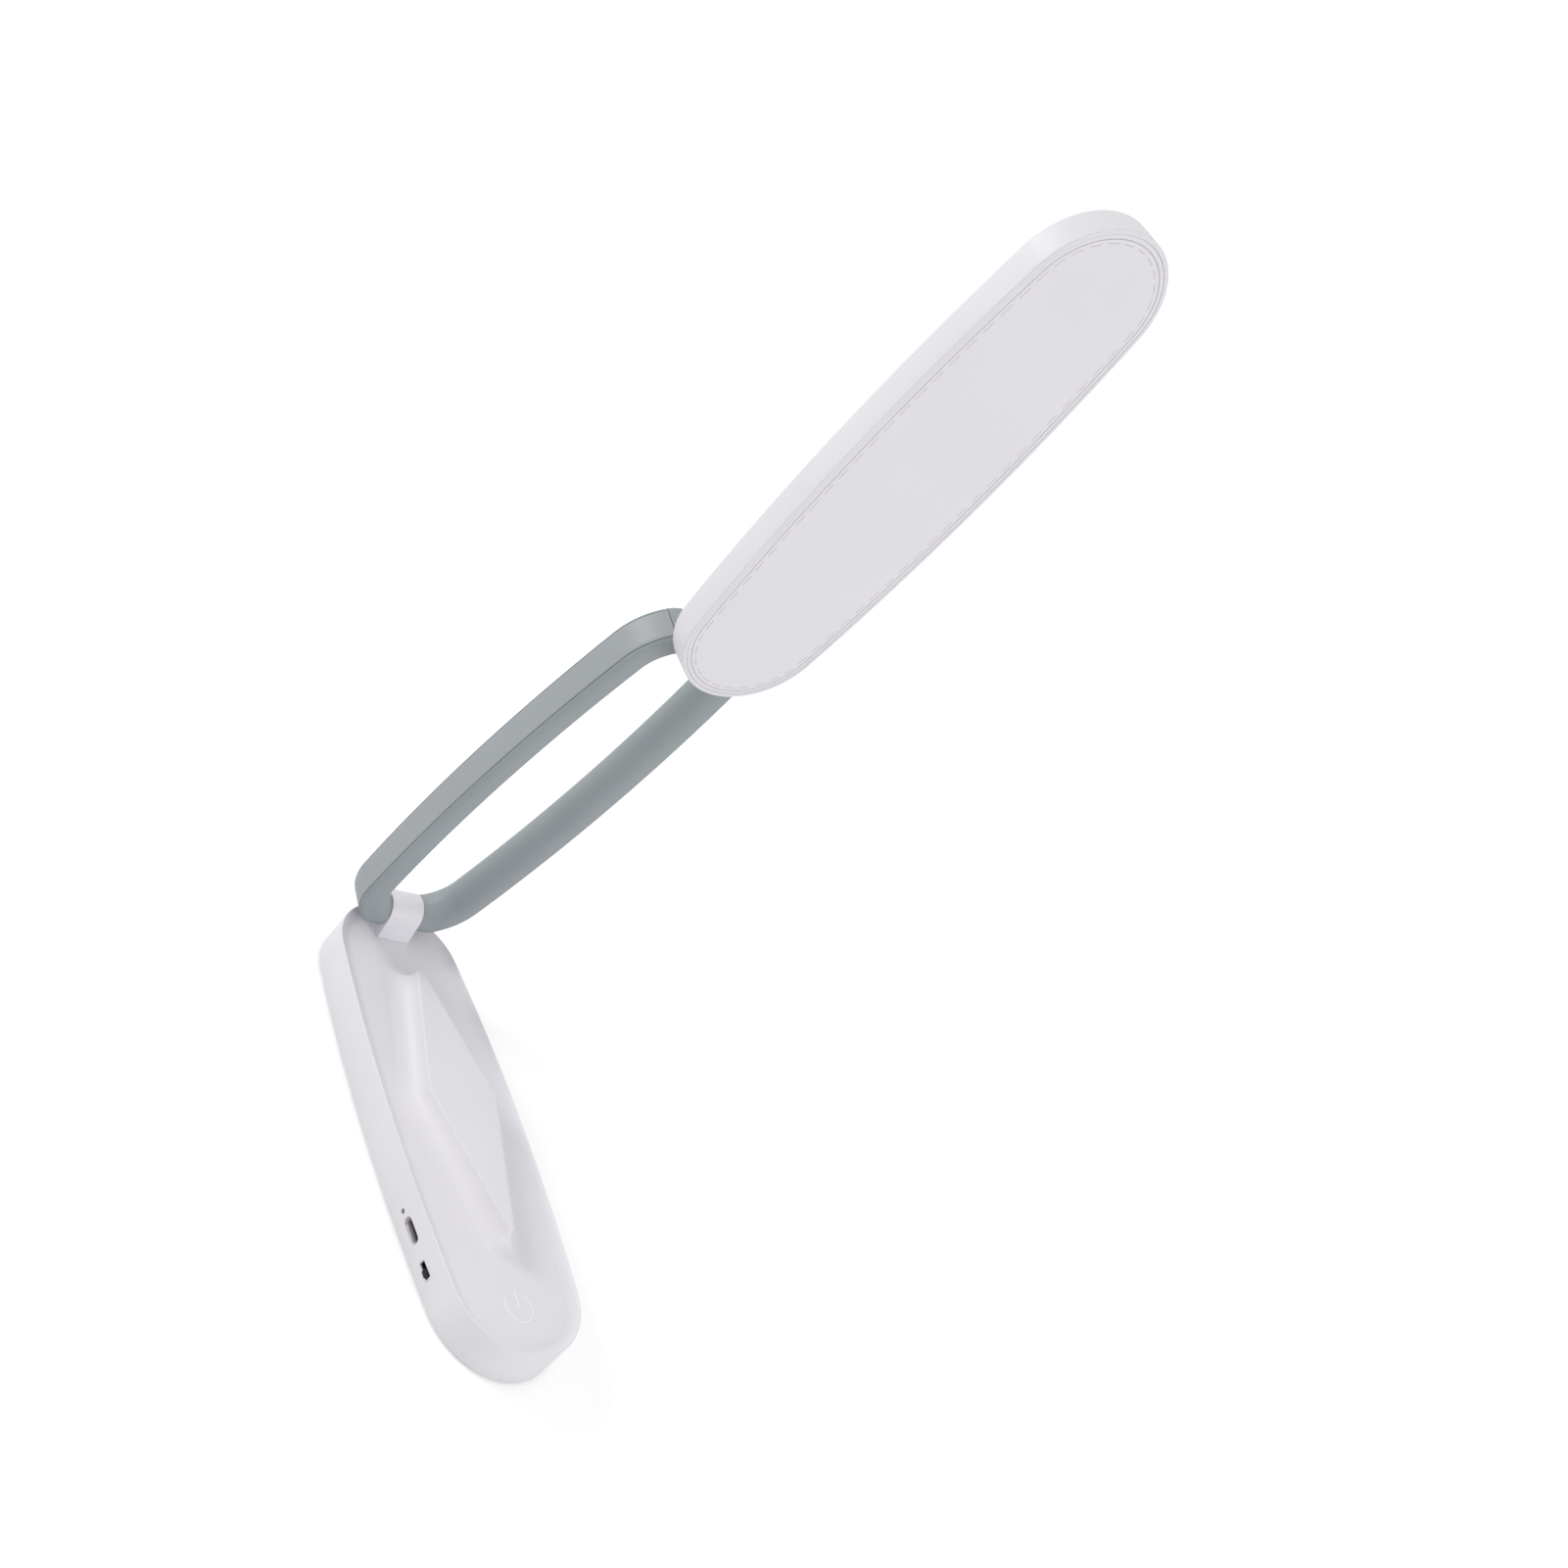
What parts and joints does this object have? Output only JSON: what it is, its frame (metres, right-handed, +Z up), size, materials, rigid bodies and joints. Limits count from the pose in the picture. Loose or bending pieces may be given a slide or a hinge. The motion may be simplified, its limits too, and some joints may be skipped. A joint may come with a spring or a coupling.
{
  "type": "folding desk lamp",
  "caption": "Folding LED desk lamp: a flat rechargeable base with a touch key, a ring-shaped arm hinged at its rear end and a flat light head hinged on top.",
  "frame": {"origin": "on the table under the middle of the base", "axes": "+X along both hinge pins, to the lamp's right; +Y to the hinge end of the base, -Y to the end with the touch key; +Z up"},
  "size_m": [0.054, 0.177, 0.3491],
  "materials": {
    "white_plastic": "fine satin",
    "grey_plastic": "fine satin",
    "grey_strip": "fine satin",
    "diffuser_plastic": "frosted",
    "pad_rubber": "matte",
    "steel": "rolled",
    "pin_steel": "ground",
    "spring_steel": "ground",
    "screw_steel": "plated",
    "port_steel": "plated",
    "plate_aluminium": "rolled",
    "battery_foil": "foil pouch",
    "circuit_board": "solder mask",
    "black_plastic": "moulded",
    "bush_plastic": "moulded",
    "clear_plastic": "polished",
    "brass": "plain",
    "mark_grey": "matte",
    "cable_film": "film",
    "white_film": "matte",
    "lamp_yellow": "moulded"
  },
  "bodies": {
    "base": {"base_shell": "white_plastic", "base_cover": "white_plastic", "foot_pad": "pad_rubber", "ballast_plate": "steel", "battery": "battery_foil", "control_board": "circuit_board", "charging_port": "port_steel", "switch_body": "black_plastic", "indicator_pipe": "clear_plastic", "touch_plate": "brass", "touch_contact": "brass", "touch_mark": "mark_grey", "cover_screws": "screw_steel", "base_knuckle": "white_plastic", "base_knuckle_plate": "steel", "base_knuckle_screws": "screw_steel", "base_hinge_bush": "bush_plastic"},
    "switch": {"switch_knob": "black_plastic"},
    "arm": {"base_hinge_pin": "pin_steel", "base_hinge_washers": "spring_steel", "arm_limb_left": "grey_plastic", "arm_limb_right": "grey_plastic", "arm_strip_left": "grey_strip", "arm_strip_right": "grey_strip", "arm_flat_cable": "cable_film", "head_hinge_washers": "spring_steel", "head_hinge_pin": "pin_steel"},
    "head": {"head_hinge_bush": "bush_plastic", "head_knuckle": "white_plastic", "head_knuckle_plate": "steel", "head_knuckle_screws": "screw_steel", "head_shell": "white_plastic", "driver_board": "circuit_board", "head_plate": "plate_aluminium", "head_plate_screws": "screw_steel", "reflector": "white_film", "led_strip": "white_film", "led_lamps": "lamp_yellow", "light_guide": "clear_plastic", "diffuser": "diffuser_plastic"}
  },
  "joints": [
    {"name": "arm_hinge", "type": "hinge", "parent": "base", "child": "arm", "pos_m": [0, 0.0812, 0.0203], "axis": [1, 0, 0], "range_deg": [-5, 74]},
    {"name": "head_hinge", "type": "hinge", "parent": "arm", "child": "head", "pos_m": [0, 0.05384, 0.18038], "axis": [1, 0, 0], "range_deg": [-174.2, 5.8]},
    {"name": "switch_slide", "type": "slide", "parent": "base", "child": "switch", "axis": [0, 1, 0], "range_m": [0, 0.0026]}
  ]
}
